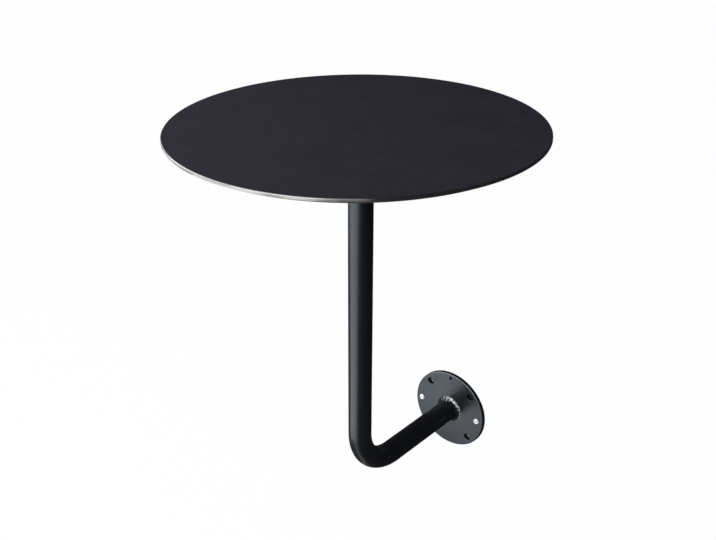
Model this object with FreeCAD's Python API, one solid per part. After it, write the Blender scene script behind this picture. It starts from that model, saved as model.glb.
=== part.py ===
import FreeCAD, Part
import math
import os

from FreeCAD import Vector

# Wall-mounted cafe table: a round top on a bent steel tube, held by a welded wall flange.
# Millimetres. The origin is the centre of the flange's back face, +Z is up, +Y points into the wall.

# Table top
top_diameter = 600.0
top_thickness = 10.0
top_edge_height = 5.0          # edge of the top, from its upper face to the bevel of the underside
top_bevel_run = 10.0           # how far that bevel reaches in from the edge
top_edge_round = 2.0           # rounding of the upper edge
surface_height = 685.0         # upper face of the top above the axis of the arm
wall_gap = 8.0                 # rear edge of the top to the wall
top_offset = 15.0              # the top's centre is this much further from the wall than the post

# Bent tube
tube_diameter = 42.4
tube_wall = 3.2
bend_radius = 95.0             # along the tube's axis

# Wall flange
flange_diameter = 166.0
flange_thickness = 8.0
flange_chamfer = 1.5
hole_margin = 15.0             # from the flange's edge to the circle of the anchor and screw holes
anchor_hole_diameter = 14.0
anchor_hole_chamfer = 0.8
anchor_count = 4
anchor_first_angle = 45.0      # degrees, 0 is to the right as seen from the room
screw_hole_diameter = 6.6
screw_hole_angles = (0.0, 180.0)
spare_hole_angle = 90.0        # a third small hole, left empty
spare_hole_margin = 9.0        # from the flange's edge to the centre of that hole

# Round-head screws in the flange, modelled as far as the wall
flange_screw_diameter = 6.0
flange_screw_recess = 0.2      # end of the shank inside the flange's back face
flange_screw_head_diameter = 12.0
flange_screw_head_height = 3.6
flange_screw_head_flat = 6.4
flange_screw_socket_width = 4.0
flange_screw_socket_depth = 2.4

# Welds
flange_weld_leg = 7.0
top_weld_leg = 5.0
weld_crown = 0.6               # how far a bead stands out over a flat fillet

# Plate under the top
plate_diameter = 200.0
plate_thickness = 6.0
plate_chamfer = 1.0
plate_hole_diameter = 6.6
plate_hole_margin = 20.0       # from the plate's edge to the circle of its holes
top_screw_count = 6
top_screw_first_angle = 30.0

# Round-head screws, washers and threaded inserts that hold the top
top_screw_diameter = 6.0
top_screw_length = 14.0
top_screw_head_diameter = 10.5
top_screw_head_height = 3.3
top_screw_head_flat = 5.6
top_screw_socket_width = 4.0
top_screw_socket_depth = 2.0
washer_diameter = 12.5
washer_bore = 6.4
washer_thickness = 1.6
insert_diameter = 8.5
insert_length = 7.0
insert_fit = 0.05              # between insert and top, on the radius
insert_floor = 0.5             # space above the insert in its blind hole
thread_clearance = 0.1         # between screw and insert, on the radius

# All screws
head_bulge = 0.5               # how far a domed head stands out over a plain cone
tip_chamfer = 0.6

# Places worked out from the sizes above
top_radius = top_diameter / 2
tube_radius = tube_diameter / 2
flange_radius = flange_diameter / 2
hole_circle_radius = flange_radius - hole_margin
spare_hole_radius = flange_radius - spare_hole_margin
plate_radius = plate_diameter / 2
plate_circle_radius = plate_radius - plate_hole_margin
top_y = -(top_radius + wall_gap)
post_y = top_y + top_offset
flange_front_y = -flange_thickness
top_underside_z = surface_height - top_thickness
plate_underside_z = top_underside_z - plate_thickness
head_seat_z = plate_underside_z - washer_thickness

UP = Vector(0, 0, 1)
INTO_WALL = Vector(0, 1, 0)
ACROSS = Vector(1, 0, 0)


def straight(points):
    """Straight edges from each point to the next."""
    return [Part.LineSegment(a, b).toShape() for a, b in zip(points, points[1:])]


def closed(points):
    """Straight edges through the points and back to the first."""
    return straight(points + points[:1])


def revolved(edges, centre, axis):
    """Solid made by turning a closed outline of edges about an axis."""
    return Part.Face(Part.Wire(edges)).revolve(centre, axis, 360)


def hexagon_prism(width, depth, base, direction):
    """Six-sided prism, width across flats, that grows from base along direction."""
    corner_radius = width / math.sqrt(3)
    side = direction.cross(ACROSS)
    corners = []
    for k in range(6):
        turn = math.radians(60 * k)
        corners.append(base + (ACROSS * math.cos(turn) + side * math.sin(turn)) * corner_radius)
    return Part.Face(Part.Wire(closed(corners))).extrude(direction * depth)


def round_head_screw(seat, direction, diameter, length, head, socket):
    """Domed socket screw: seat is under its head, and direction is the way it is driven.

    head is the head's diameter, height and flat end, and socket is its width across flats and depth.
    """
    head_diameter, head_height, head_flat = head
    socket_width, socket_depth = socket
    head_run = (head_diameter - head_flat) / 2
    head_slope = math.hypot(head_run, head_height)

    def at(radius, distance):
        return seat + ACROSS * radius + direction * distance

    dome = Part.Arc(
        at(head_flat / 2, -head_height),
        at(
            (head_diameter + head_flat) / 4 + head_bulge * head_height / head_slope,
            -head_height / 2 - head_bulge * head_run / head_slope,
        ),
        at(head_diameter / 2, 0),
    )
    rest = straight([
        at(head_diameter / 2, 0),
        at(diameter / 2, 0),
        at(diameter / 2, length - tip_chamfer),
        at(diameter / 2 - tip_chamfer, length),
        at(0, length),
        at(0, -head_height),
        at(head_flat / 2, -head_height),
    ])
    screw = revolved([dome.toShape()] + rest, seat, direction)
    return screw.cut(hexagon_prism(socket_width, socket_depth, at(0, -head_height), direction))


def flange_point(angle, radius):
    """Point on the flange's front face, at an angle seen from the room and a radius from its centre."""
    turn = math.radians(angle)
    return Vector(math.cos(turn), 0, math.sin(turn)) * radius + INTO_WALL * flange_front_y


def top_screw_points(z):
    """Centres of the screws that hold the top, around the post, at height z."""
    centre = Vector(0, post_y, z)
    points = []
    for k in range(top_screw_count):
        turn = math.radians(top_screw_first_angle + 360 * k / top_screw_count)
        points.append(centre + Vector(math.cos(turn), math.sin(turn), 0) * plate_circle_radius)
    return points


def make_table_top():
    """Round top with a rounded upper edge and a bevelled underside, drilled for the inserts."""
    bevel_z = surface_height - top_edge_height
    round_z = surface_height - top_edge_round
    round_sag = top_edge_round * (1 - math.sqrt(0.5))

    def at(radius, z):
        return Vector(radius, top_y, z)

    sides = straight([
        at(top_radius - top_edge_round, surface_height),
        at(0, surface_height),
        at(0, top_underside_z),
        at(top_radius - top_bevel_run, top_underside_z),
        at(top_radius, bevel_z),
        at(top_radius, round_z),
    ])
    rounding = Part.Arc(
        at(top_radius, round_z),
        at(top_radius - round_sag, surface_height - round_sag),
        at(top_radius - top_edge_round, surface_height),
    )
    top = revolved(sides + [rounding.toShape()], Vector(0, top_y, 0), UP)
    for point in top_screw_points(top_underside_z):
        hole_radius = insert_diameter / 2 + insert_fit
        top = top.cut(Part.makeCylinder(hole_radius, insert_length + insert_floor, point, UP))
    return top


def make_threaded_inserts():
    """Threaded sleeves in the underside of the top."""
    sleeves = []
    for point in top_screw_points(top_underside_z):
        sleeve = Part.makeCylinder(insert_diameter / 2, insert_length, point, UP)
        bore_radius = top_screw_diameter / 2 + thread_clearance
        sleeves.append(sleeve.cut(Part.makeCylinder(bore_radius, insert_length, point, UP)))
    return Part.makeCompound(sleeves)


def make_top_plate():
    """Round steel plate on the upper end of the post."""
    def at(radius, z):
        return Vector(radius, post_y, z)

    outline = closed([
        at(0, plate_underside_z),
        at(plate_radius - plate_chamfer, plate_underside_z),
        at(plate_radius, plate_underside_z + plate_chamfer),
        at(plate_radius, top_underside_z),
        at(0, top_underside_z),
    ])
    plate = revolved(outline, Vector(0, post_y, 0), UP)
    for point in top_screw_points(plate_underside_z):
        plate = plate.cut(Part.makeCylinder(plate_hole_diameter / 2, plate_thickness, point, UP))
    return plate


def make_top_screws():
    """Round-head screws, driven up through the plate into the inserts."""
    head = (top_screw_head_diameter, top_screw_head_height, top_screw_head_flat)
    socket = (top_screw_socket_width, top_screw_socket_depth)
    screws = []
    for seat in top_screw_points(head_seat_z):
        screws.append(round_head_screw(seat, UP, top_screw_diameter, top_screw_length, head, socket))
    return Part.makeCompound(screws)


def make_screw_washers():
    """Flat washers between those screw heads and the plate."""
    washers = []
    for point in top_screw_points(head_seat_z):
        washer = Part.makeCylinder(washer_diameter / 2, washer_thickness, point, UP)
        washers.append(washer.cut(Part.makeCylinder(washer_bore / 2, washer_thickness, point, UP)))
    return Part.makeCompound(washers)


def make_bent_tube():
    """Post, quarter bend and arm in one piece of round tube."""
    bend_start = Vector(0, post_y, bend_radius)
    bend_centre = Vector(0, post_y + bend_radius, bend_radius)
    bend_end = Vector(0, post_y + bend_radius, 0)

    def ring(centre, direction):
        outer = Part.Face(Part.Wire(Part.makeCircle(tube_radius, centre, direction)))
        inner = Part.Face(Part.Wire(Part.makeCircle(tube_radius - tube_wall, centre, direction)))
        return outer.cut(inner)

    post = ring(bend_start, UP).extrude(UP * (plate_underside_z - bend_radius))
    bend = ring(bend_start, UP).revolve(bend_centre, ACROSS, 90)
    arm = ring(bend_end, INTO_WALL).extrude(INTO_WALL * (flange_front_y - bend_end.y))
    return post.fuse([bend, arm]).removeSplitter()


def make_weld(leg, corner, along):
    """Fillet bead around the tube: corner is on the tube at the plate, along leads away from the plate."""
    on_tube = corner + along * leg
    on_plate = corner + ACROSS * leg
    middle = corner + (along + ACROSS) * (leg / 2 + weld_crown * math.sqrt(0.5))
    edges = straight([on_tube, corner, on_plate])
    edges.append(Part.Arc(on_plate, middle, on_tube).toShape())
    return revolved(edges, corner - ACROSS * tube_radius, along)


def make_wall_flange():
    """Round wall plate with anchor holes, holes for its screws and one spare hole."""
    def at(radius, y):
        return Vector(radius, y, 0)

    outline = closed([
        at(0, 0),
        at(flange_radius, 0),
        at(flange_radius, flange_front_y + flange_chamfer),
        at(flange_radius - flange_chamfer, flange_front_y),
        at(0, flange_front_y),
    ])
    flange = revolved(outline, Vector(0, 0, 0), INTO_WALL)
    anchor_radius = anchor_hole_diameter / 2
    for k in range(anchor_count):
        point = flange_point(anchor_first_angle + 360 * k / anchor_count, hole_circle_radius)
        mouth_radius = anchor_radius + anchor_hole_chamfer
        flange = flange.cut(Part.makeCylinder(anchor_radius, flange_thickness, point, INTO_WALL))
        flange = flange.cut(Part.makeCone(mouth_radius, anchor_radius, anchor_hole_chamfer, point, INTO_WALL))
    small_holes = [flange_point(angle, hole_circle_radius) for angle in screw_hole_angles]
    small_holes.append(flange_point(spare_hole_angle, spare_hole_radius))
    for point in small_holes:
        flange = flange.cut(Part.makeCylinder(screw_hole_diameter / 2, flange_thickness, point, INTO_WALL))
    return flange


def make_flange_screws():
    """Round-head screws at the sides of the flange."""
    head = (flange_screw_head_diameter, flange_screw_head_height, flange_screw_head_flat)
    socket = (flange_screw_socket_width, flange_screw_socket_depth)
    length = flange_thickness - flange_screw_recess
    screws = []
    for angle in screw_hole_angles:
        seat = flange_point(angle, hole_circle_radius)
        screws.append(round_head_screw(seat, INTO_WALL, flange_screw_diameter, length, head, socket))
    return Part.makeCompound(screws)


def make_parts():
    """Every piece of the table, by name."""
    top_weld_corner = Vector(tube_radius, post_y, plate_underside_z)
    flange_weld_corner = Vector(tube_radius, flange_front_y, 0)
    return {
        "table_top": make_table_top(),
        "threaded_inserts": make_threaded_inserts(),
        "top_plate": make_top_plate(),
        "top_screws": make_top_screws(),
        "screw_washers": make_screw_washers(),
        "top_plate_weld": make_weld(top_weld_leg, top_weld_corner, -UP),
        "bent_tube": make_bent_tube(),
        "flange_weld": make_weld(flange_weld_leg, flange_weld_corner, -INTO_WALL),
        "wall_flange": make_wall_flange(),
        "flange_screws": make_flange_screws(),
    }


def main():
    os.makedirs("parts", exist_ok=True)
    for name, shape in make_parts().items():
        shape.exportStep(os.path.join("parts", name + ".step"))
        print(name, len(shape.Solids), "solids", round(shape.Volume, 1), "mm3", "valid", shape.isValid())


main()
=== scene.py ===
import math

import bmesh
import bpy
from mathutils import Matrix, Vector, noise


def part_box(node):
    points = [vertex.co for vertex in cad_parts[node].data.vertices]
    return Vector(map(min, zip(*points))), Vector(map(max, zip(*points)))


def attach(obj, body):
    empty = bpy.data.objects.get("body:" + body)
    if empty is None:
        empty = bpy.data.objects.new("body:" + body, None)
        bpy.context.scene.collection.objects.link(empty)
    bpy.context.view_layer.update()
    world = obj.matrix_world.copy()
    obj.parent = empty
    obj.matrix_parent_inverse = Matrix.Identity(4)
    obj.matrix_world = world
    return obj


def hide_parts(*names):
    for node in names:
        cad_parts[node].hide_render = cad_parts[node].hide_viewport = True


# Wall-mounted cafe table: the finish of its pieces, its studio and its camera, in metres.
# +Z is up, +Y points into the wall and the origin is the centre of the wall flange's back face.

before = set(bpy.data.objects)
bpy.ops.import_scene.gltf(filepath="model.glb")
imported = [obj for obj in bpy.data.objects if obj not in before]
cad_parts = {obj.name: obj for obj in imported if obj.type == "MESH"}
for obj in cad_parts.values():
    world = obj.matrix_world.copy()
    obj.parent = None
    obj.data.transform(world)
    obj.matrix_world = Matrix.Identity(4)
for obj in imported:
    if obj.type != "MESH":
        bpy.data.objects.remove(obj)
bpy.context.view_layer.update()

ORIGIN = Vector((0, 0, 0))
UP = Vector((0, 0, 1))
DOWN = Vector((0, 0, -1))
INTO_WALL = Vector((0, 1, 0))
INTO_ROOM = Vector((0, -1, 0))
ACROSS = Vector((1, 0, 0))

# Corners of the pieces that the finer meshes stand for
top_low, top_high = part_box("table_top")
plate_low, plate_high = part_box("top_plate")
tube_low, tube_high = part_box("bent_tube")
flange_low, flange_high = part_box("wall_flange")
flange_weld_low, flange_weld_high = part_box("flange_weld")
top_weld_low, top_weld_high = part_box("top_plate_weld")

# Places read from the frame
surface_z = top_high.z
underside_z = top_low.z
top_radius = top_high.x
top_y = top_high.y - top_radius
tube_radius = tube_high.x
post_y = tube_low.y + tube_radius
plate_radius = plate_high.x
plate_underside_z = plate_low.z
flange_radius = flange_high.x
flange_front_y = flange_low.y
flange_weld_leg = flange_weld_high.x - tube_radius
top_weld_leg = top_weld_high.x - tube_radius

# All edges
edge_break = 0.0003            # rounding of an edge that is only broken
support = 0.0002               # flat strip beside a rounding, which keeps its shading off the flat
edge_steps = 6                 # faces across a rounding, where no other number is given
sharp_angle = math.radians(40)

# Table top
top_edge_height = 0.005        # what is left of the thickness over the bevel
top_bevel_run = 0.010
top_edge_round = 0.002
top_lower_round = 0.0006       # between the edge and the bevel
top_bevel_round = 0.0012       # between the bevel and the underside
rim_face_margin = 0.02         # the rim's mesh begins this far in on the upper face
rim_underside_margin = 0.03    # and ends this far in on the underside
rim_steps = 8
face_ring_shares = (0.15, 0.4, 0.7)
insert_hole_radius = 0.0043
insert_hole_depth = 0.0075

# Tube
tube_wall = 0.0032
bend_radius = 0.095
post_steps = 24
bend_steps = 48
arm_steps = 8

# Wall flange
flange_chamfer = 0.0015
flange_front_round = 0.003
flange_side_round = 0.0006
flange_face_margin = 0.004
flange_back_margin = 0.003
flange_hole_circle = 0.068
spare_hole_circle = 0.074
anchor_angles = range(45, 405, 90)
screw_angles = (0, 180)
spare_angles = (90,)
anchor_hole_radius = 0.007
anchor_hole_chamfer = 0.0008
small_hole_radius = 0.0033
hole_front_margin = 0.001
hole_back_margin = 0.0005
hole_front_round = 0.00015
hole_back_round = 0.0001
hole_steps = 3

# Plate under the top, with its washers
plate_chamfer = 0.001
plate_round = 0.0004
plate_margin = 0.004
plate_hole_circle = 0.080
plate_hole_radius = 0.0033
fixing_angles = range(30, 390, 60)
washer_radius = 0.00625
washer_bore_radius = 0.0032
washer_thickness = 0.0016
washer_bore_round = 0.0001
washer_lower_round = 0.0003
washer_upper_round = 0.0002
washer_steps = 4

# Screws: length of the shank, radius and height of the head, radius of its flat, depth of the socket
top_screw = (0.014, 0.00525, 0.0033, 0.0028, 0.0020)
flange_screw = (0.0078, 0.0060, 0.0036, 0.0040, 0.0024)
screw_radius = 0.003
thread_pitch = 0.001
thread_depth = 0.0005
thread_rows = 8                # rings of points for each turn of the thread
thread_run_in = 0.001          # where the thread deepens under the head
thread_run_out = 0.0008        # where it fades at the tip
tip_taper = 0.0006
head_bulge = 0.0005
head_foot_break = 0.3 * edge_break
dome_steps = 12
socket_width = 0.004
socket_point = 0.0005          # hollow of the drill in the floor of a socket
socket_corner_turn = 3         # degrees to each side of a socket's corner where it is rounded
socket_corner_cut = 0.985      # share of the corner's radius that the rounding leaves

# Welds, their heights as shares of the leg
bead_reach = 0.96              # along the tube
bead_reach_wander = 0.04
bead_run_out = 1.05            # along the plate
bead_run_out_wander = 0.05
bead_hollow = 0.257            # how far the face is drawn in
ripple_height = 0.314          # where the bead was begun, less on its other side
ripple_low_share = 0.15        # share of that height on the other side
ripple_fade = 5                # how fast the height falls off between the two
ripple_count = 16
ripple_start = 0.19            # share of a ripple by which the first one is turned
ripple_bow = 0.15              # how far a ripple lags behind in the middle of the bead
ripple_wander = 0.1            # how far a ripple strays from its even place
bead_begun = math.radians(115)
wander_pace = 2.2
wander_seed = 900              # gives beads with different legs different wander
bead_across = 12               # faces across the bead's face

# Points around the pieces
top_count = 320
plate_count = 192              # the plate under the top and the wall flange
tube_count = 96
round_count = 64               # flange holes, screw heads, washers and the patch of wall
plate_hole_count = 48
insert_hole_count = 32
bead_count = 360

# Finishes: dark and light tone, lowest and highest roughness
face_tones = ((0.0119, 0.0109, 0.0187), (0.0147, 0.0137, 0.0225))
face_roughness = (0.70, 0.80)
face_gloss = 0.25
edge_tones = ((0.0100, 0.0098, 0.0115), (0.0150, 0.0147, 0.0170))
edge_roughness = (0.14, 0.20)
edge_refraction = 2.3
edge_varnish_roughness = 0.1
coat_tones = ((0.0050, 0.0052, 0.0060), (0.0065, 0.0067, 0.0076))
coat_roughness = (0.29, 0.35)
coat_refraction = 1.5
# raised refraction of the flange's rounded front edge, which paints a highlight line along it
chamfer_highlight_refraction = 1.75
coat_gloss_tint = (0.75, 0.88, 1)
bead_roughness = (0.16, 0.22)
# high refraction that brightens the welds' glints: a painted highlight
bead_glint_refraction = 2.6
bead_gloss_tint = (0.95, 0.97, 1)
glint_dim_x = -0.018           # painted shade on the bead's glints: its gloss is weakest here
glint_full_x = 0.004          # and full from here on
dimmed_glint_gloss = 0.075
full_glint_gloss = 0.5
bright_tones = ((0.80, 0.80, 0.82), (0.90, 0.90, 0.92))
bright_roughness = (0.55, 0.67)
bright_metallic = 0.5          # plated, so its look lies between bare metal and paint
black_tones = ((0.04, 0.04, 0.042), (0.06, 0.06, 0.062))
black_roughness = (0.30, 0.42)
brass_tones = ((0.66, 0.49, 0.22), (0.76, 0.58, 0.28))
brass_roughness = (0.25, 0.37)
wall_tones = ((0.15, 0.16, 0.18), (0.19, 0.20, 0.22))
noise_low = 0.3                # nearly all values of a noise lie between these two
noise_high = 0.7

# Studio
surface_height = 1.05          # table surface over the floor
floor_z = surface_z - surface_height
floor_half = 60
floor_tone = 0.8
floor_white = 0.975            # how much of the floor's look is plain white, the rest keeps the shadow
matte = 0.9                    # roughness of the floor and of the patch of wall
ambient_light = 0.5
table_middle = Vector((0, post_y, 0.35))
box_distance = 2.4             # the two soft boxes, side by side on the camera's left
box_size = (2.3, 2.4)
box_elevation = 22
left_box_turn = 102            # degrees to the left of the camera
left_radiance = 2.1
front_box_turn = 46
front_radiance = 3.6

# Panels on the floor: their middle to the camera's right and towards it, their size and their radiance
panel_lift = 0.02
floor_panels = {
    "post_panel": ((-1.17, 0.43), (1.53, 2.35), 1.8),
    "flange_panel": ((-0.25, -0.185), (0.50, 0.29), 2.7),
    "rim_panel": ((-2.42, 0.50), (0.98, 2.40), 2.8),
    "front_panel": ((-1.45, 2.10), (0.90, 1.00), 2.4),
}

# Black cards, by their first and last degree to the left of the camera and their section about the post
card_lift = 0.03
card_hole = 0.02
card_distance = 3.5
card_height = 5.0
card_tone = (0.02, 0.02, 0.022, 1)
card_steps = 48
near_card_distance = 2.85
small_card_distance = 2.05
rear_card_hole = 0.15
left_card_hole = 0.45
bend_card_distance = 0.13
bend_card_depth = 0.10
bend_card_lip = -floor_z - card_lift      # the arm's middle line, over the foot of the cards
bend_card_shelf = bend_card_lip - bend_card_depth
dark_cards = [
    (150, 356, [(card_hole, 0), (card_distance, 0),
                (card_distance, card_height), (card_hole, card_height)]),
    (-4, 12, [(card_hole, 0), (near_card_distance, 0)]),
    (12, 32, [(card_hole, 0), (small_card_distance, 0)]),
    (125, 150, [(rear_card_hole, 0), (small_card_distance, 0)]),
    (106, 125, [(left_card_hole, 0), (small_card_distance, 0)]),
    (60, 150, [(card_hole, bend_card_shelf), (bend_card_distance, bend_card_shelf),
               (bend_card_distance, bend_card_lip)]),
]

# Patch of wall behind the flange, with a painted shadow that darkens it towards the upper right
wall_patch_gap = 0.0006
painted_shadow_start = 0.04
painted_shadow_end = 0.08
wall_painted_shadow = 0.1

# Camera of the photograph, about the middle of the table's surface
view_azimuth = math.radians(43.74)
camera_offset = Vector((-0.0785, -1.4414, 0.4684))
camera_pitch = math.radians(26.96)
camera_roll = math.radians(1.387)
camera_lens = 48.513
camera_sensor = 36
camera_shift = (0.0700, 0.0121)
camera_reach = 300


# Meshes

def spoke(axis, turn):
    """Unit vector square to an axis, at an angle about it."""
    return ACROSS * math.cos(turn) + axis.cross(ACROSS) * math.sin(turn)


def circle_points(centre, axis, radius, angles):
    """Points on a circle about an axis, at angles in degrees."""
    return [centre + spoke(axis, math.radians(angle)) * radius for angle in angles]


def top_fixing_points(z):
    """Centres of the screws that hold the top, at height z."""
    return circle_points(Vector((0, post_y, z)), UP, plate_hole_circle, fixing_angles)


def ring(bm, centre, axis, radius, height, count):
    """Circle of points about an axis, at a height along it."""
    points = []
    for k in range(count):
        outward = spoke(axis, math.tau * k / count)
        points.append(bm.verts.new(centre + outward * radius + axis * height))
    return points


def rings_along(bm, section, centre, axis, count):
    """One ring of points for each (radius, height) pair of a section line."""
    return [ring(bm, centre, axis, radius, height, count) for radius, height in section]


def add_face(bm, points, material=0):
    """Smooth face through these points."""
    face = bm.faces.new(points)
    face.smooth = True
    face.material_index = material


def loft(bm, rings, material=0):
    """Quads from each ring of points to the next."""
    for first, second in zip(rings, rings[1:]):
        for k in range(len(first)):
            add_face(bm, (first[k - 1], first[k], second[k], second[k - 1]), material)


def cap(bm, points, centre, material=0):
    """Triangles from a ring of points to a point in its middle."""
    middle = bm.verts.new(centre)
    for k in range(len(points)):
        add_face(bm, (points[k - 1], points[k], middle), material)


def fill(bm, loops):
    """Flat face between the outer loop of points and the loops of its holes."""
    edges = []
    for loop in loops:
        for k in range(len(loop)):
            pair = (loop[k - 1], loop[k])
            edges.append(bm.edges.get(pair) or bm.edges.new(pair))
    made = bmesh.ops.triangle_fill(bm, use_beauty=True, edges=edges)
    for item in made["geom"]:
        if isinstance(item, bmesh.types.BMFace):
            item.smooth = True


def rounded(corners, roundings, steps=edge_steps):
    """Section line through the corners, as (radius, height) pairs, with its inner corners rounded."""
    points = [Vector(corners[0])]
    for before, corner, after, rounding in zip(corners, corners[1:], corners[2:], roundings):
        corner = Vector(corner)
        arrive = (corner - Vector(before)).normalized()
        leave = (Vector(after) - corner).normalized()
        turn = arrive.angle(leave)
        inward = (leave - arrive * math.cos(turn)) / math.sin(turn)
        reach = rounding * math.tan(turn / 2)
        start = corner - arrive * reach
        points.append(start - arrive * support)
        for k in range(steps + 1):
            swing = turn * k / steps
            along = arrive * rounding * math.sin(swing)
            points.append(start + along + inward * rounding * (1 - math.cos(swing)))
        points.append(corner + leave * (reach + support))
    points.append(Vector(corners[-1]))
    return points


def corner_rings(steps):
    """How many points of a section line one rounded corner takes."""
    return steps + 3


def link(name, data):
    """New object of this name in the scene."""
    made = bpy.data.objects.new(name, data)
    bpy.context.scene.collection.objects.link(made)
    return made


def finish_piece(name, bm, materials, slot, *nodes):
    """The piece made of this mesh, riding on the table in place of the named nodes."""
    bmesh.ops.recalc_face_normals(bm, faces=bm.faces)
    for edge in bm.edges:
        edge.smooth = not edge.is_manifold or edge.calc_face_angle() < sharp_angle
    mesh = bpy.data.meshes.new(name)
    bm.to_mesh(mesh)
    bm.free()
    for material in materials:
        mesh.materials.append(material)
    piece = link(name, mesh)
    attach(piece, "root")
    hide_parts(*nodes)


# Materials

def new_material(name):
    """Empty finish: the material, its node tree and its surface shader."""
    material = bpy.data.materials.new(name)
    material.use_nodes = True
    tree = material.node_tree
    return material, tree, tree.nodes["Principled BSDF"]


def grain(tree, size, detail=2.0, stretch=(1, 1, 1)):
    """Noise with features of about this size in metres, longer along an axis with a stretch over 1."""
    place = tree.nodes.new("ShaderNodeTexCoord")
    scaling = tree.nodes.new("ShaderNodeMapping")
    texture = tree.nodes.new("ShaderNodeTexNoise")
    scaling.inputs["Scale"].default_value = [1 / (size * factor) for factor in stretch]
    texture.inputs["Scale"].default_value = 1
    texture.inputs["Detail"].default_value = detail
    tree.links.new(place.outputs["Object"], scaling.inputs["Vector"])
    tree.links.new(scaling.outputs["Vector"], texture.inputs["Vector"])
    return texture.outputs["Fac"]


def map_range(tree, value, start, end, low, high):
    """The value, taken from between start and end to between low and high."""
    node = tree.nodes.new("ShaderNodeMapRange")
    node.inputs["From Min"].default_value = start
    node.inputs["From Max"].default_value = end
    node.inputs["To Min"].default_value = low
    node.inputs["To Max"].default_value = high
    tree.links.new(value, node.inputs["Value"])
    return node.outputs["Result"]


def spread(tree, value, limits):
    """The value of a noise, spread between two limits."""
    return map_range(tree, value, noise_low, noise_high, *limits)


def gradient(tree, along, start, end, low, high):
    """Value from low to high between two places along a direction."""
    place = tree.nodes.new("ShaderNodeTexCoord")
    reach = tree.nodes.new("ShaderNodeVectorMath")
    reach.operation = "DOT_PRODUCT"
    reach.inputs[1].default_value = along
    tree.links.new(place.outputs["Object"], reach.inputs[0])
    return map_range(tree, reach.outputs["Value"], start, end, low, high)


def tint(tree, value, tones):
    """Colour between a dark and a light tone by the value of a noise."""
    node = tree.nodes.new("ShaderNodeValToRGB")
    for element, position, tone in zip(node.color_ramp.elements, (noise_low, noise_high), tones):
        element.position = position
        element.color = (*tone, 1)
    tree.links.new(value, node.inputs["Fac"])
    return node.outputs["Color"]


def relief(tree, height, depth, under=None):
    """Bump of this depth in metres from a height, on top of another bump if one is given."""
    node = tree.nodes.new("ShaderNodeBump")
    node.inputs["Strength"].default_value = 1
    node.inputs["Distance"].default_value = depth
    tree.links.new(height, node.inputs["Height"])
    if under:
        tree.links.new(under, node.inputs["Normal"])
    return node.outputs["Normal"]


def dress(tree, shader, colour, roughness, normal):
    """Links the colour, the roughness and the relief of a finish to its shader."""
    tree.links.new(colour, shader.inputs["Base Color"])
    tree.links.new(roughness, shader.inputs["Roughness"])
    tree.links.new(normal, shader.inputs["Normal"])


def laminate_face():
    """Matte black laminate with a fine dry texture and a faint cloudy tone."""
    material, tree, shader = new_material("laminate_face")
    colour = tint(tree, grain(tree, size=0.07, detail=4), face_tones)
    roughness = spread(tree, grain(tree, size=0.02, detail=3), face_roughness)
    pores = relief(tree, grain(tree, size=0.0006), depth=0.000012)
    waves = relief(tree, grain(tree, size=0.004), depth=0.00001, under=pores)
    dress(tree, shader, colour, roughness, waves)
    shader.inputs["Specular IOR Level"].default_value = face_gloss
    return material


def laminate_edge():
    """Polished edge of the same laminate, with fine lines from the cutter along it."""
    material, tree, shader = new_material("laminate_edge")
    lines = grain(tree, size=0.0004, stretch=(60, 60, 1))
    colour = tint(tree, grain(tree, size=0.01, detail=3), edge_tones)
    dress(tree, shader, colour, spread(tree, lines, edge_roughness), relief(tree, lines, depth=0.000002))
    shader.inputs["IOR"].default_value = edge_refraction
    shader.inputs["Coat Weight"].default_value = 1
    shader.inputs["Coat Roughness"].default_value = edge_varnish_roughness
    return material


def powder_coat(name, limits, refraction, gloss_tint):
    """Satin black powder coat with a soft orange-peel surface."""
    material, tree, shader = new_material(name)
    colour = tint(tree, grain(tree, size=0.03, detail=3), coat_tones)
    roughness = spread(tree, grain(tree, size=0.009, detail=3), limits)
    peel = relief(tree, grain(tree, size=0.0016, detail=1), depth=0.000025)
    specks = relief(tree, grain(tree, size=0.0005, detail=1), depth=0.000005, under=peel)
    dress(tree, shader, colour, roughness, specks)
    shader.inputs["Specular Tint"].default_value = (*gloss_tint, 1)
    shader.inputs["IOR"].default_value = refraction
    return material


def bead_finish():
    """Glossier powder coat on the welds; its high refraction brightens their glints as a painted
    highlight, and its gloss fades towards their left side as painted shade on the glints.
    """
    material = powder_coat("bead_coat", bead_roughness, bead_glint_refraction, bead_gloss_tint)
    tree = material.node_tree
    # painted shade on the glints: the gloss fades towards the bead's left side
    painted_glint_fade = gradient(tree, ACROSS, glint_dim_x, glint_full_x, dimmed_glint_gloss, full_glint_gloss)
    tree.links.new(painted_glint_fade, tree.nodes["Principled BSDF"].inputs["Specular IOR Level"])
    return material


def turned_metal(name, tones, limits, metallic=1):
    """Bare, plated or blackened metal with the fine scratches of turning and driving."""
    material, tree, shader = new_material(name)
    scratches = grain(tree, size=0.0003, detail=3)
    colour = tint(tree, grain(tree, size=0.002, detail=3), tones)
    dress(tree, shader, colour, spread(tree, scratches, limits), relief(tree, scratches, depth=0.000003))
    shader.inputs["Metallic"].default_value = metallic
    return material


# Pieces

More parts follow.
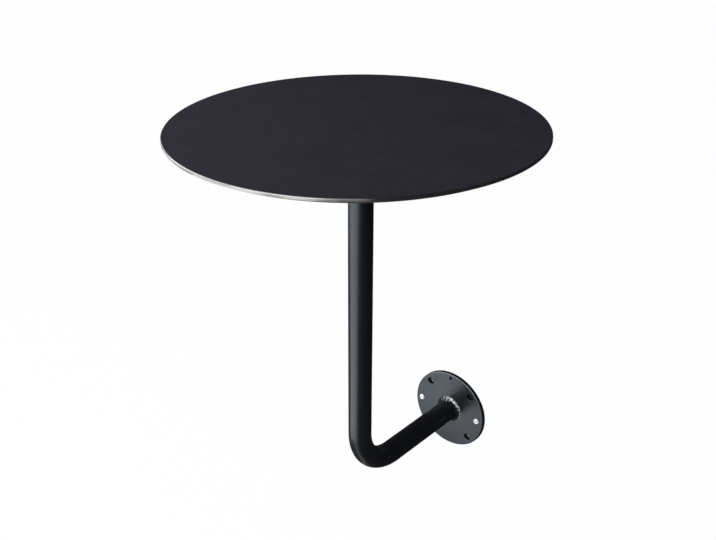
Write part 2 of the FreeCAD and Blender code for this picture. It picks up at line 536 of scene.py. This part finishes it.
def make_top(face, edge):
    """Round top: matte faces, a polished rounded edge, a bevelled underside and blind holes."""
    bm = bmesh.new()
    centre = Vector((0, top_y, 0))
    rim = rounded(
        [
            (top_radius - rim_face_margin, surface_z),
            (top_radius, surface_z),
            (top_radius, surface_z - top_edge_height),
            (top_radius - top_bevel_run, underside_z),
            (top_radius - rim_underside_margin, underside_z),
        ],
        [top_edge_round, top_lower_round, top_bevel_round],
        rim_steps,
    )
    rim_rings = rings_along(bm, rim, centre, UP, top_count)
    polish_end = 2 * corner_rings(rim_steps) - 2
    loft(bm, rim_rings[:2])
    loft(bm, rim_rings[1:polish_end], 1)
    loft(bm, rim_rings[polish_end - 1:])
    face_line = [(top_radius * share, surface_z) for share in face_ring_shares]
    face_rings = rings_along(bm, face_line, centre, UP, top_count)
    loft(bm, face_rings + rim_rings[:1])
    cap(bm, face_rings[0], centre + UP * surface_z)
    mouths = []
    for point in top_fixing_points(underside_z):
        mouth = ring(bm, point, UP, insert_hole_radius, 0, insert_hole_count)
        floor_ring = ring(bm, point, UP, insert_hole_radius, insert_hole_depth, insert_hole_count)
        loft(bm, [mouth, floor_ring])
        cap(bm, floor_ring, point + UP * insert_hole_depth)
        mouths.append(mouth)
    fill(bm, [rim_rings[-1]] + mouths)
    finish_piece("round_top", bm, [face, edge], "black_laminate", "table_top")


def make_tube(coat):
    """Bent tube: post, bend and arm, with its bore."""
    bm = bmesh.new()
    turn_centre = Vector((0, post_y + bend_radius, bend_radius))
    stations = []
    for k in range(post_steps + 1):
        z = plate_underside_z + (bend_radius - plate_underside_z) * k / post_steps
        stations.append((Vector((0, post_y, z)), DOWN))
    for k in range(1, bend_steps + 1):
        swing = math.pi / 2 * k / bend_steps
        out = Vector((0, -math.cos(swing), -math.sin(swing)))
        ahead = Vector((0, math.sin(swing), -math.cos(swing)))
        stations.append((turn_centre + out * bend_radius, ahead))
    for k in range(1, arm_steps + 1):
        y = turn_centre.y + (flange_front_y - turn_centre.y) * k / arm_steps
        stations.append((Vector((0, y, 0)), INTO_WALL))
    outer = [ring(bm, centre, ahead, tube_radius, 0, tube_count) for centre, ahead in stations]
    bore_radius = tube_radius - tube_wall
    inner = [ring(bm, centre, ahead, bore_radius, 0, tube_count) for centre, ahead in stations]
    loft(bm, outer)
    loft(bm, inner)
    loft(bm, [outer[0], inner[0]])
    loft(bm, [outer[-1], inner[-1]])
    finish_piece("support_tube", bm, [coat], "black_coat", "bent_tube")


def make_flange(coat, chamfer_highlight):
    """Wall flange with its anchor holes and small holes; its rounded front edge takes a more reflective
    copy of the coat as a painted highlight.
    """
    bm = bmesh.new()
    thickness = -flange_front_y
    section = rounded(
        [
            (flange_radius - flange_face_margin, thickness),
            (flange_radius - flange_chamfer, thickness),
            (flange_radius, thickness - flange_chamfer),
            (flange_radius, 0),
            (flange_radius - flange_back_margin, 0),
        ],
        [flange_front_round, flange_side_round, edge_break],
    )
    rings = rings_along(bm, section, ORIGIN, INTO_ROOM, plate_count)
    chamfer_end = corner_rings(edge_steps) + 3
    loft(bm, rings[:2])
    # the rounded front edge takes the second slot: a more reflective copy of the coat, a painted
    # highlight line
    loft(bm, rings[1:chamfer_end], 1)
    loft(bm, rings[chamfer_end - 1:])
    fronts, backs = [rings[0]], [rings[-1]]
    anchor_holes = circle_points(ORIGIN, INTO_ROOM, flange_hole_circle, anchor_angles)
    small_holes = circle_points(ORIGIN, INTO_ROOM, flange_hole_circle, screw_angles)
    small_holes += circle_points(ORIGIN, INTO_ROOM, spare_hole_circle, spare_angles)
    holes = [(middle, anchor_hole_radius, anchor_hole_chamfer) for middle in anchor_holes]
    holes += [(middle, small_hole_radius, edge_break) for middle in small_holes]
    for middle, radius, chamfer in holes:
        line = rounded(
            [
                (radius + chamfer + hole_front_margin, thickness),
                (radius + chamfer, thickness),
                (radius, thickness - chamfer),
                (radius, edge_break),
                (radius + edge_break, 0),
                (radius + edge_break + hole_back_margin, 0),
            ],
            [hole_front_round, hole_front_round, hole_back_round, hole_back_round],
            hole_steps,
        )
        hole_rings = rings_along(bm, line, middle, INTO_ROOM, round_count)
        loft(bm, hole_rings)
        fronts.append(hole_rings[0])
        backs.append(hole_rings[-1])
    fill(bm, fronts)
    fill(bm, backs)
    finish_piece("wall_plate", bm, [coat, chamfer_highlight], "black_coat", "wall_flange")


def make_plate(coat):
    """Round plate on the post, with the holes of the screws."""
    bm = bmesh.new()
    centre = Vector((0, post_y, plate_underside_z))
    thickness = underside_z - plate_underside_z
    section = rounded(
        [
            (plate_radius - plate_margin, 0),
            (plate_radius - plate_chamfer, 0),
            (plate_radius, plate_chamfer),
            (plate_radius, thickness),
            (plate_radius - plate_margin, thickness),
        ],
        [plate_round, plate_round, edge_break],
    )
    rings = rings_along(bm, section, centre, UP, plate_count)
    loft(bm, rings)
    unders, overs = [rings[0]], [rings[-1]]
    for point in top_fixing_points(plate_underside_z):
        under = ring(bm, point, UP, plate_hole_radius, 0, plate_hole_count)
        over = ring(bm, point, UP, plate_hole_radius, thickness, plate_hole_count)
        loft(bm, [under, over])
        unders.append(under)
        overs.append(over)
    fill(bm, unders)
    fill(bm, overs)
    finish_piece("post_plate", bm, [coat], "black_coat", "top_plate")


def weld_bead(name, leg, corner, axis, node, coat):
    """Fillet weld around the tube where it meets a plate, laid in short overlapping ripples."""
    bm = bmesh.new()
    rows = [[] for _ in range(bead_across + 2)]
    for k in range(bead_count):
        turn = math.tau * k / bead_count
        outward = spoke(axis, turn)
        wander = noise.noise(Vector((math.cos(turn), math.sin(turn), leg * wander_seed)) * wander_pace)
        reach = leg * (bead_reach + bead_reach_wander * wander)
        run_out = leg * (bead_run_out + bead_run_out_wander * wander)
        begun = ((1 + math.cos(turn - bead_begun)) / 2) ** ripple_fade
        swell = leg * ripple_height * (ripple_low_share + (1 - ripple_low_share) * begun)
        root = corner + outward * tube_radius
        rows[0].append(bm.verts.new(root))
        for step in range(bead_across + 1):
            share = step / bead_across
            lag = ripple_bow * math.sin(math.pi * share)
            phase = (turn / math.tau * ripple_count + ripple_start + ripple_wander * wander - lag) % 1
            wave = 0.5 - (2 * phase - 1) ** 2
            crown = math.sin(math.pi * share) * (swell * wave - leg * bead_hollow)
            foot = axis * reach * (1 - share) + outward * run_out * share
            lift = (axis + outward) * crown * math.sqrt(0.5)
            rows[step + 1].append(bm.verts.new(root + foot + lift))
    loft(bm, rows + rows[:1])
    finish_piece(name, bm, [coat], "black_coat", node)


def hexagon(bm, centre, axis, width, height):
    """Six-sided loop of points, width across flats, with slightly rounded corners."""
    points = []
    for k in range(6):
        for bend in (-socket_corner_turn, 0, socket_corner_turn):
            outward = spoke(axis, math.radians(60 * k + bend))
            radius = width / 2 / math.cos(math.radians(30 - abs(bend)))
            if bend == 0:
                radius *= socket_corner_cut
            points.append(bm.verts.new(centre + outward * radius + axis * height))
    return points


def add_thread(bm, start, seat, out, length):
    """Threaded shank from the ring of points under a head to its tip."""
    count = len(start)
    row_count = round(length / thread_pitch * thread_rows)
    rings = [start]
    for row in range(1, row_count + 1):
        depth = length * row / row_count
        remaining = length - depth
        fade = min(1, depth / thread_run_in, remaining / thread_run_out)
        taper = tip_taper * max(0, 1 - remaining / thread_run_out)
        points = []
        for k in range(count):
            phase = (depth / thread_pitch + k / count) % 1
            groove = thread_depth * (1 - abs(2 * phase - 1)) * fade
            outward = spoke(out, math.tau * k / count)
            points.append(bm.verts.new(seat - out * depth + outward * (screw_radius - groove - taper)))
        rings.append(points)
    loft(bm, rings)
    cap(bm, rings[-1], seat - out * length)


def add_screw(bm, seat, out, shank, head_radius, head_height, head_flat, socket_depth):
    """Round-head socket screw: seat is under its head, out leads away from the work."""
    narrowing = head_radius - head_flat
    slope = Vector((narrowing, head_height)).length
    line = [
        (screw_radius, 0),
        (head_radius - edge_break, 0),
        (head_radius - head_foot_break, head_foot_break),
    ]
    for k in range(1, dome_steps + 1):
        share = k / dome_steps
        bulge = head_bulge * math.sin(math.pi * share) / slope
        radius = head_radius - narrowing * share + bulge * head_height
        line.append((radius, head_height * share + bulge * narrowing))
    line.append((head_flat - support, head_height))
    head = rings_along(bm, line, seat, out, round_count)
    loft(bm, head)
    mouth = hexagon(bm, seat, out, socket_width + 2 * edge_break, head_height)
    lip = hexagon(bm, seat, out, socket_width, head_height - edge_break)
    foot = hexagon(bm, seat, out, socket_width, head_height - socket_depth)
    fill(bm, [head[-1], mouth])
    loft(bm, [mouth, lip, foot])
    # the floor of the socket takes the second slot: darker steel as painted shade in the recess
    cap(bm, foot, seat + out * (head_height - socket_depth - socket_point), 1)
    add_thread(bm, head[0], seat, out, shank)


def make_flange_screws(finish, socket_shade_finish):
    """The two bright screws at the sides of the flange, their socket floors in blackened steel as painted
    shade.
    """
    bm = bmesh.new()
    for seat in circle_points(INTO_WALL * flange_front_y, INTO_ROOM, flange_hole_circle, screw_angles):
        add_screw(bm, seat, INTO_ROOM, *flange_screw)
    finish_piece("wall_screws", bm, [finish, socket_shade_finish], "bright_steel", "flange_screws")


def make_top_screws(finish):
    """Screws driven up through the plate into the top, with sockets of the same finish."""
    bm = bmesh.new()
    for seat in top_fixing_points(plate_underside_z - washer_thickness):
        add_screw(bm, seat, DOWN, *top_screw)
    finish_piece("top_fixing_screws", bm, [finish, finish], "black_steel", "top_screws")


def make_washers(finish):
    """Flat washers with edges rounded by stamping."""
    bm = bmesh.new()
    inner, outer, high = washer_bore_radius, washer_radius, washer_thickness
    section = [(inner, high / 2), (inner, 0), (outer, 0), (outer, high), (inner, high), (inner, high / 2)]
    roundings = [washer_bore_round, washer_lower_round, washer_upper_round, washer_bore_round]
    line = rounded(section, roundings, washer_steps)[:-1]
    for point in top_fixing_points(plate_underside_z - washer_thickness):
        rings = rings_along(bm, line, point, UP, round_count)
        loft(bm, rings + rings[:1])
    finish_piece("fixing_washers", bm, [finish], "black_steel", "screw_washers")


def dress_inserts(finish):
    """The inserts keep the shape of their node and get this finish."""
    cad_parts["threaded_inserts"].data.materials[0] = finish


# Studio and camera

def towards(left):
    """Level unit vector away from the post, by degrees to the left of the camera."""
    turn = view_azimuth - math.radians(left)
    return Vector((math.sin(turn), -math.cos(turn), 0))


def around(left, elevation, distance):
    """Place about the table's middle, by degrees to the left of the camera, degrees up and distance."""
    rise = math.radians(elevation)
    return table_middle + (towards(left) * math.cos(rise) + UP * math.sin(rise)) * distance


def stage_piece(name, bm, material):
    """Piece of the studio made of this mesh."""
    mesh = bpy.data.meshes.new(name)
    bm.to_mesh(mesh)
    bm.free()
    mesh.materials.append(material)
    piece = link(name, mesh)
    return piece


def sees_background(tree):
    """1 for what the camera sees straight on, in a reflection or through glass, and 0 for light."""
    path = tree.nodes.new("ShaderNodeLightPath")
    first = tree.nodes.new("ShaderNodeMath")
    second = tree.nodes.new("ShaderNodeMath")
    first.operation = second.operation = "MAXIMUM"
    tree.links.new(path.outputs["Is Camera Ray"], first.inputs[0])
    tree.links.new(path.outputs["Is Glossy Ray"], first.inputs[1])
    tree.links.new(first.outputs["Value"], second.inputs[0])
    tree.links.new(path.outputs["Is Transmission Ray"], second.inputs[1])
    return second.outputs["Value"]


def mix_surface(tree, share, first, second):
    """Surface that goes from the first shader to the second as the share goes from 0 to 1."""
    mix = tree.nodes.new("ShaderNodeMixShader")
    tree.links.new(share, mix.inputs["Fac"])
    tree.links.new(first, mix.inputs[1])
    tree.links.new(second, mix.inputs[2])
    tree.links.new(mix.outputs["Shader"], tree.nodes["Material Output"].inputs["Surface"])


def make_floor():
    """Wide pale floor that shows white and keeps a soft shadow."""
    bm = bmesh.new()
    corners = [(-1, -1), (1, -1), (1, 1), (-1, 1)]
    bm.faces.new([bm.verts.new((x * floor_half, y * floor_half, floor_z)) for x, y in corners])
    material, tree, shader = new_material("floor")
    shader.inputs["Base Color"].default_value = (floor_tone, floor_tone, floor_tone, 1)
    shader.inputs["Roughness"].default_value = matte
    glow = tree.nodes.new("ShaderNodeEmission")
    glow.inputs["Strength"].default_value = 1
    share = tree.nodes.new("ShaderNodeMath")
    share.operation = "MULTIPLY"
    share.inputs[1].default_value = floor_white
    tree.links.new(sees_background(tree), share.inputs[0])
    mix_surface(tree, share.outputs["Value"], shader.outputs["BSDF"], glow.outputs["Emission"])
    stage_piece("floor", bm, material)


def make_world():
    """White surroundings, with a low even light from all around."""
    world = bpy.data.worlds.new("studio")
    world.use_nodes = True
    tree = world.node_tree
    background = tree.nodes["Background"]
    background.inputs["Color"].default_value = (1, 1, 1, 1)
    strength = map_range(tree, sees_background(tree), 0, 1, ambient_light, 1)
    tree.links.new(strength, background.inputs["Strength"])
    bpy.context.scene.world = world


def area_light(name, place, aim, size, radiance):
    """Soft rectangular lamp of a given radiance, turned by the matrix aim."""
    width, height = size
    data = bpy.data.lights.new(name, "AREA")
    data.shape = "RECTANGLE"
    data.size = width
    data.size_y = height
    data.energy = radiance * math.pi * width * height
    lamp = link(name, data)
    lamp.matrix_world = Matrix.Translation(place) @ aim
    lamp.visible_camera = False


def soft_box(name, left, radiance):
    """Standing soft box that faces the table, by degrees to the left of the camera."""
    place = around(left, box_elevation, box_distance)
    aim = (table_middle - place).to_track_quat("-Z", "Y").to_matrix().to_4x4()
    area_light(name, place, aim, box_size, radiance)


def floor_panel(name, middle, size, radiance):
    """Soft panel that lies on the floor and shines upwards."""
    turned = Matrix.Rotation(view_azimuth, 4, "Z")
    right, near = middle
    place = Vector((0, post_y, floor_z + panel_lift)) + turned @ Vector((right, -near, 0))
    area_light(name, place, turned @ Matrix.Rotation(math.pi, 4, "X"), size, radiance)


def make_wall_patch():
    """Patch of wall behind the flange, seen only through its holes and not from behind, with a painted
    shadow towards the upper right.
    """
    bm = bmesh.new()
    middle = INTO_WALL * wall_patch_gap
    bm.faces.new(ring(bm, middle, INTO_ROOM, flange_radius - flange_chamfer, 0, round_count))
    material, tree, shader = new_material("wall_patch")
    # painted shadow: the wall's colour darkens towards the upper right
    painted_shadow = gradient(tree, ACROSS + UP, painted_shadow_start, painted_shadow_end, 1, wall_painted_shadow)
    tone = tree.nodes.new("ShaderNodeVectorMath")
    tone.operation = "SCALE"
    tree.links.new(tint(tree, grain(tree, size=0.004, detail=4), wall_tones), tone.inputs[0])
    tree.links.new(painted_shadow, tone.inputs["Scale"])
    tree.links.new(tone.outputs["Vector"], shader.inputs["Base Color"])
    shader.inputs["Roughness"].default_value = matte
    shader.inputs["Specular IOR Level"].default_value = 0
    clear = tree.nodes.new("ShaderNodeBsdfTransparent")
    side = tree.nodes.new("ShaderNodeNewGeometry")
    mix_surface(tree, side.outputs["Backfacing"], shader.outputs["BSDF"], clear.outputs["BSDF"])
    patch = stage_piece("wall_patch", bm, material)
    patch.visible_diffuse = False
    patch.visible_glossy = False
    patch.visible_shadow = False


def add_card(bm, start, end, section):
    """Card bent about the post, from start to end in degrees to the left of the camera.

    Its section is a line of (radius, height) pairs.
    """
    foot = Vector((0, post_y, floor_z + card_lift))
    rows = []
    for k in range(card_steps + 1):
        outward = towards(start + (end - start) * k / card_steps)
        rows.append([bm.verts.new(foot + outward * radius + UP * height) for radius, height in section])
    for first, second in zip(rows, rows[1:]):
        for k in range(len(section) - 1):
            bm.faces.new((first[k], second[k], second[k + 1], first[k + 1]))


def make_dark_surround():
    """Black cards around the table, out of the camera's sight, open to the light on the camera's left.

    They only show in reflections, and keep the side away from the light as dark as in the photograph.
    """
    bm = bmesh.new()
    for start, end, section in dark_cards:
        add_card(bm, start, end, section)
    material, tree, shader = new_material("dark_surround")
    shader.inputs["Base Color"].default_value = card_tone
    shader.inputs["Roughness"].default_value = 1
    cards = stage_piece("dark_surround", bm, material)
    cards.visible_camera = False
    cards.visible_diffuse = False
    cards.visible_shadow = False
    cards.visible_transmission = False


def make_camera():
    """Camera at the photograph's place, angle and lens."""
    data = bpy.data.cameras.new("camera")
    camera = link("camera", data)
    turned = Matrix.Rotation(view_azimuth, 4, "Z")
    place = Vector((0, top_y, surface_z)) + turned @ camera_offset
    tilt = Matrix.Rotation(math.pi / 2 - camera_pitch, 4, "X") @ Matrix.Rotation(-camera_roll, 4, "Z")
    camera.matrix_world = Matrix.Translation(place) @ turned @ tilt
    data.sensor_fit = "HORIZONTAL"
    data.sensor_width = camera_sensor
    data.lens = camera_lens
    data.shift_x, data.shift_y = camera_shift
    data.clip_end = camera_reach
    bpy.context.scene.camera = camera


coat = powder_coat("powder_coat", coat_roughness, coat_refraction, coat_gloss_tint)
# more reflective copy of the coat for the flange's rounded front edge: a painted highlight line
chamfer_highlight_coat = powder_coat("chamfer_highlight_coat", coat_roughness, chamfer_highlight_refraction, coat_gloss_tint)
bead_coat = bead_finish()
bright_steel = turned_metal("bright_steel", bright_tones, bright_roughness, bright_metallic)
black_steel = turned_metal("blackened_steel", black_tones, black_roughness)
brass = turned_metal("turned_brass", brass_tones, brass_roughness)
make_top(laminate_face(), laminate_edge())
make_tube(coat)
make_flange(coat, chamfer_highlight_coat)
make_plate(coat)
flange_corner = Vector((0, flange_front_y, 0))
plate_corner = Vector((0, post_y, plate_underside_z))
weld_bead("wall_weld_bead", flange_weld_leg, flange_corner, INTO_ROOM, "flange_weld", bead_coat)
weld_bead("top_weld_bead", top_weld_leg, plate_corner, DOWN, "top_plate_weld", bead_coat)
# the flange screws' socket floors take blackened steel as painted shade
make_flange_screws(bright_steel, black_steel)
make_top_screws(black_steel)
make_washers(black_steel)
dress_inserts(brass)

bpy.context.scene.view_settings.view_transform = "Standard"
make_world()
make_floor()
soft_box("left_box", left_box_turn, left_radiance)
soft_box("front_box", front_box_turn, front_radiance)
for panel, settings in floor_panels.items():
    floor_panel(panel, *settings)
make_wall_patch()
make_dark_surround()
make_camera()
